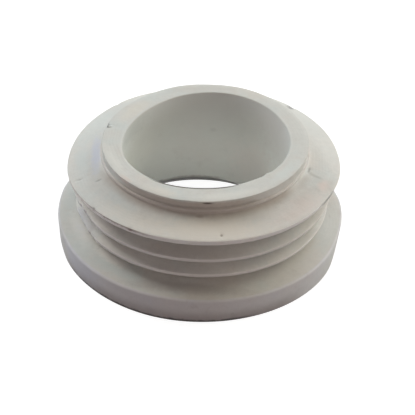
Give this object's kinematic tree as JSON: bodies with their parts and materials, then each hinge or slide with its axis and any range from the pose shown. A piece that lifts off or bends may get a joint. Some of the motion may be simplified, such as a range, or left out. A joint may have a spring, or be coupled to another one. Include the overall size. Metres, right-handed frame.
{
  "type": "flush pipe connector",
  "caption": "Ring-shaped rubber connector with a smooth bore, conical sealing fins, a plain collar and a thick flange, which seals a flush pipe into the inlet of a toilet pan.",
  "frame": {"origin": "middle of the flange's flat underside, on the axis of the bore, where the connector stands", "axes": "+Z along the bore's axis from the flange towards the collar; the shape is a ring about Z, so X and Y have no feature of their own; the picture looks along +Y and down"},
  "size_m": [0.0658, 0.0658, 0.0255],
  "materials": {
    "rubber": "matte moulded off-white rubber"
  },
  "bodies": {
    "root": {"connector_body": "rubber"}
  },
  "joints": []
}
